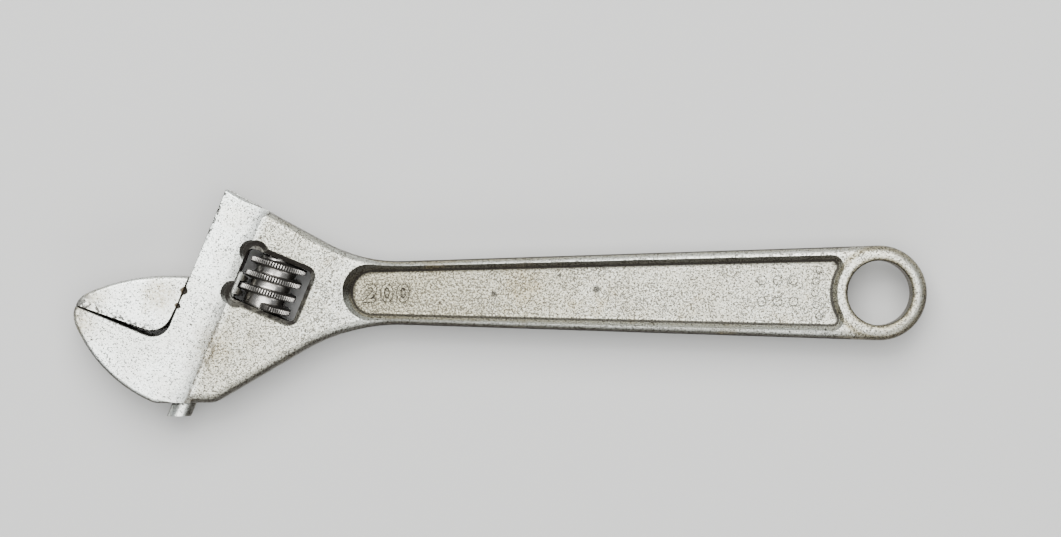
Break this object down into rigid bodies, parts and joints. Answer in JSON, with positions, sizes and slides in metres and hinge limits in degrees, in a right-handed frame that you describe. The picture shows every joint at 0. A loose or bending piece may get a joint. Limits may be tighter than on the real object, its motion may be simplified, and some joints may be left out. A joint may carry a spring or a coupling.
{
  "type": "adjustable wrench",
  "caption": "Open-end adjustable wrench: forged body with fixed jaw, hanging ring and sunk handle panel, sliding jaw on a rack rail, knurled worm in a window of the head.",
  "frame": {"origin": "centre of the hanging hole, halfway through the thickness of the ring", "axes": "+X along the handle, from the jaws to the hanging end; +Y to the side the movable jaw opens towards; +Z out of the upper face"},
  "size_m": [0.2051, 0.0546, 0.014],
  "materials": {
    "forged_steel": "worn satin plating over a drop forging, speckled with fine pits",
    "jaw_steel": "ground flat, worn satin plating with light brown stains",
    "worm_steel": "bright turned steel with a fine straight knurl on the crests",
    "pin_steel": "plain ground steel",
    "spring_steel": "drawn spring wire"
  },
  "bodies": {
    "frame": {"body": "forged_steel", "worm_pin": "pin_steel", "worm_spring": "spring_steel"},
    "jaw": {"movable_jaw": "jaw_steel"},
    "worm": {"worm": "worm_steel"}
  },
  "joints": [
    {"name": "worm_spin", "type": "hinge", "parent": "frame", "child": "worm", "pos_m": [-0.14674, 0.00203, 0], "axis": [-0.3827, -0.9239, 0], "range_deg": [0, 2521]},
    {"name": "jaw_slide", "type": "slide", "parent": "frame", "child": "jaw", "axis": [0.3827, 0.9239, 0], "range_m": [0, 0.0245]}
  ],
  "couplings": [
    {"joint": "worm_spin", "follows": "jaw_slide", "rad_per_m": 1795.2}
  ]
}
